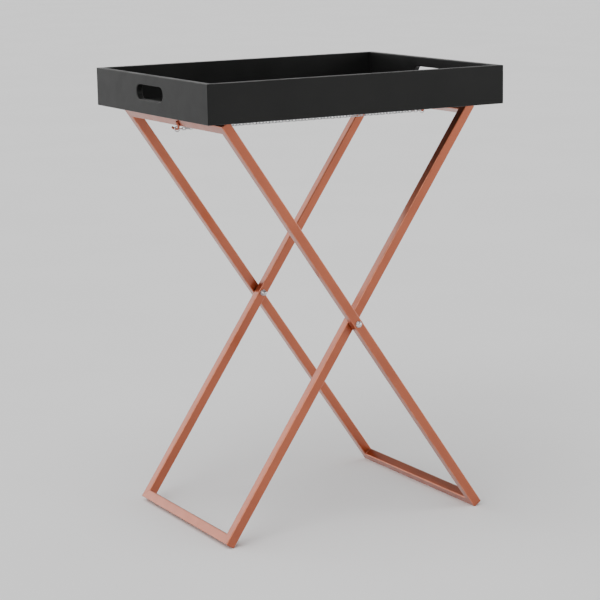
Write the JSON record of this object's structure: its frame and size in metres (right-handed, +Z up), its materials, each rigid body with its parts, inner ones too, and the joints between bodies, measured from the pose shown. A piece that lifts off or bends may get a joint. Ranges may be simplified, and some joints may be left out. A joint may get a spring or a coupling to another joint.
{
  "type": "folding tray table",
  "caption": "Deep rectangular tray with hand slots, resting loose on a crossed square-tube stand that folds about a bolt through each leg crossing and is held open by a stay chain.",
  "frame": {"origin": "on the floor under the middle of the tray", "axes": "+X along the tray's length, +Y along its depth towards the back, +Z up"},
  "size_m": [0.5, 0.38, 0.6984],
  "materials": {
    "tray_paint": "satin black paint over fibreboard",
    "copper_paint": "semi-gloss copper-coloured metallic coating on steel tube",
    "zinc_steel": "bright zinc plate",
    "spacer_nylon": "black nylon"
  },
  "bodies": {
    "outer_frame": {"outer_front_leg": "copper_paint", "outer_back_leg": "copper_paint", "outer_top_rail": "copper_paint", "outer_foot_rail": "copper_paint", "left_chain_hook": "copper_paint", "front_pivot_bolt": "zinc_steel", "front_head_washer": "zinc_steel", "front_spacer_washer": "spacer_nylon", "front_inner_washer": "zinc_steel", "front_cap_nut": "zinc_steel", "back_pivot_bolt": "zinc_steel", "back_head_washer": "zinc_steel", "back_spacer_washer": "spacer_nylon", "back_inner_washer": "zinc_steel", "back_cap_nut": "zinc_steel"},
    "inner_frame": {"inner_front_leg": "copper_paint", "inner_back_leg": "copper_paint", "inner_top_rail": "copper_paint", "inner_foot_rail": "copper_paint", "right_chain_hook": "copper_paint"},
    "chain_ring": {"chain_ring_left": "zinc_steel"},
    "tray": {"tray_front_wall": "tray_paint", "tray_back_wall": "tray_paint", "tray_left_wall": "tray_paint", "tray_right_wall": "tray_paint", "tray_base_panel": "tray_paint", "base_screw_1": "zinc_steel", "base_screw_2": "zinc_steel", "base_screw_3": "zinc_steel", "base_screw_4": "zinc_steel", "base_screw_5": "zinc_steel", "base_screw_6": "zinc_steel", "base_screw_7": "zinc_steel", "base_screw_8": "zinc_steel"},
    "chain_left": {"chain_left_half": "zinc_steel"},
    "chain_right": {"chain_right_half": "zinc_steel", "chain_ring_right": "zinc_steel"}
  },
  "joints": [
    {"name": "stand_fold", "type": "hinge", "parent": "outer_frame", "child": "inner_frame", "pos_m": [0.014, 0.017, 0.32004], "axis": [0, -1, 0], "range_deg": [0, 66.3]},
    {"name": "ring_level", "type": "hinge", "parent": "outer_frame", "child": "chain_ring", "pos_m": [-0.20304, 0.007, 0.61561], "axis": [0, -1, 0], "range_deg": [0, 33.2]},
    {"name": "tray_lift", "type": "slide", "parent": "chain_ring", "child": "tray", "axis": [0, 0, 1], "range_m": [0, 0.15]},
    {"name": "chain_left_swing", "type": "hinge", "parent": "outer_frame", "child": "chain_left", "pos_m": [-0.20304, 0.007, 0.61561], "axis": [0, -1, 0], "range_deg": [-51.6, 0], "deforming": ["chain_left_half"]},
    {"name": "chain_right_swing", "type": "hinge", "parent": "inner_frame", "child": "chain_right", "pos_m": [0.23104, 0.007, 0.61561], "axis": [0, -1, 0], "range_deg": [0, 51.6], "deforming": ["chain_right_half"]}
  ],
  "couplings": [
    {"joint": "ring_level", "follows": "stand_fold", "ratio": 0.5},
    {"joint": "chain_left_swing", "follows": "stand_fold", "ratio": -0.77735},
    {"joint": "chain_right_swing", "follows": "stand_fold", "ratio": 0.77735}
  ]
}
